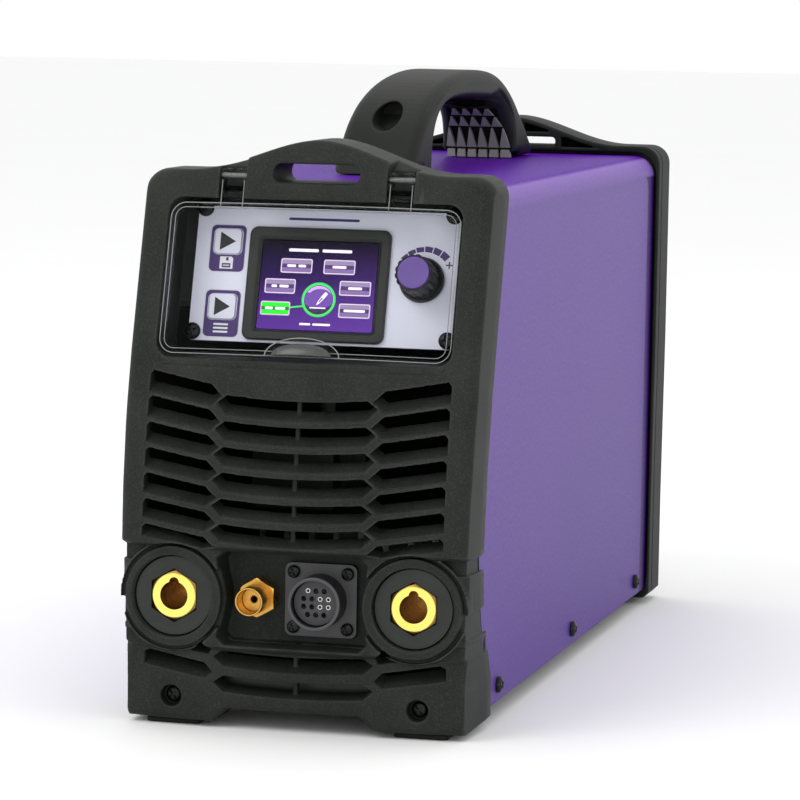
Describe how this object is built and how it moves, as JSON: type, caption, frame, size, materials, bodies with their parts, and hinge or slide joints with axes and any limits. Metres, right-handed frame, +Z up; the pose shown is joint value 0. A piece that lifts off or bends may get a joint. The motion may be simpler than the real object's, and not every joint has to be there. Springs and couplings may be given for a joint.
{
  "type": "tig welding machine",
  "caption": "Portable inverter welding power source: louvred front moulding with control panel, clear flip door, cable sockets, gas outlet, sheet cover, handle, fan and rear fittings.",
  "frame": {"origin": "on the surface the machine stands on, under the middle of its overall box", "axes": "+Z up, the controls face -Y, +X on the right of somebody facing the controls"},
  "size_m": [0.168, 0.461, 0.2943],
  "materials": {
    "charcoal_plastic": "fine grained moulding",
    "purple_painted_steel": "glossy powder coat",
    "black_painted_sheet": "satin",
    "foot_rubber": "matt",
    "silver_panel": "satin overlay",
    "bezel_plastic": "satin",
    "display_glass": "lit colour display",
    "circuit_board": "solder mask",
    "zinc": "die cast",
    "plain_steel": "turned",
    "knob_plastic": "satin",
    "knob_cap_plastic": "satin",
    "key_plastic": "satin",
    "black_screw": "black oxide",
    "clear_plastic": "clear polycarbonate",
    "anodised_shell": "black anodised",
    "black_moulding": "satin",
    "brass": "turned, bright",
    "guard_wire": "plated wire",
    "rocker_plastic": "gloss",
    "extruded_aluminium": "extruded",
    "ferrite": "sintered",
    "copper_winding": "enamelled",
    "potting_resin": "satin",
    "valve_metal": "cast",
    "hose_rubber": "matt"
  },
  "bodies": {
    "body": {"front_fascia": "charcoal_plastic", "rear_bezel": "charcoal_plastic", "handle": "charcoal_plastic", "cover": "purple_painted_steel", "rear_panel": "black_painted_sheet", "base_tray": "black_painted_sheet", "foot_front_left": "foot_rubber", "foot_front_right": "foot_rubber", "foot_rear_left": "foot_rubber", "foot_rear_right": "foot_rubber", "control_panel": "silver_panel", "screen_bezel": "bezel_plastic", "display_module": "display_glass", "control_pcb": "circuit_board", "main_pcb": "circuit_board", "encoder_body": "zinc", "hinge_pin_left": "plain_steel", "hinge_pin_right": "plain_steel", "panel_screw_1": "black_screw", "panel_screw_2": "black_screw", "panel_screw_3": "black_screw", "panel_screw_4": "black_screw", "fascia_screw_left": "black_screw", "fascia_screw_right": "black_screw", "cover_screw_1": "black_screw", "cover_screw_2": "black_screw", "cover_screw_3": "black_screw", "cover_screw_4": "black_screw", "cover_screw_5": "black_screw", "cover_screw_6": "black_screw", "connector_screw_1": "black_screw", "connector_screw_2": "black_screw", "connector_screw_3": "black_screw", "connector_screw_4": "black_screw", "connector_shell": "anodised_shell", "connector_insert": "black_moulding", "insulator_negative": "black_moulding", "insulator_positive": "black_moulding", "cable_gland": "black_moulding", "switch_housing": "black_moulding", "fan_frame": "black_moulding", "gas_outlet": "brass", "socket_negative": "brass", "socket_positive": "brass", "gas_inlet": "brass", "fan_guard": "guard_wire", "heatsink": "extruded_aluminium", "transformer": "ferrite", "output_choke": "copper_winding", "hf_unit": "potting_resin", "gas_valve": "valve_metal", "gas_hose": "hose_rubber"},
    "door": {"door": "clear_plastic"},
    "encoder": {"encoder_shaft": "plain_steel"},
    "knob": {"knob": "knob_plastic", "knob_cap": "knob_cap_plastic"},
    "key_upper": {"button_upper": "key_plastic"},
    "key_lower": {"button_lower": "key_plastic"},
    "rocker": {"switch_rocker": "rocker_plastic"},
    "fan": {"fan_rotor": "black_moulding"}
  },
  "joints": [
    {"name": "door_hinge", "type": "hinge", "parent": "body", "child": "door", "pos_m": [0, -0.1885, 0.2491], "axis": [-1, 0, 0], "range_deg": [0, 110]},
    {"name": "encoder_push", "type": "slide", "parent": "body", "child": "encoder", "axis": [0, 0.9627, -0.2706], "range_m": [0, 0.0006], "stiffness_N_per_m": 2500},
    {"name": "knob_turn", "type": "hinge", "parent": "encoder", "child": "knob", "pos_m": [0.0463, -0.17691, 0.20335], "axis": [0, 0.9627, -0.2706], "continuous": true},
    {"name": "key_upper_press", "type": "slide", "parent": "body", "child": "key_upper", "axis": [0, 0.9627, -0.2706], "range_m": [0, 0.0005], "stiffness_N_per_m": 2500},
    {"name": "key_lower_press", "type": "slide", "parent": "body", "child": "key_lower", "axis": [0, 0.9627, -0.2706], "range_m": [0, 0.0005], "stiffness_N_per_m": 2500},
    {"name": "rocker_tilt", "type": "hinge", "parent": "body", "child": "rocker", "pos_m": [-0.044, 0.1955, 0.1955], "axis": [1, 0, 0], "range_deg": [0, 20]},
    {"name": "fan_spin", "type": "hinge", "parent": "body", "child": "fan", "pos_m": [0, 0.1875, 0.0895], "axis": [0, 1, 0], "continuous": true}
  ]
}
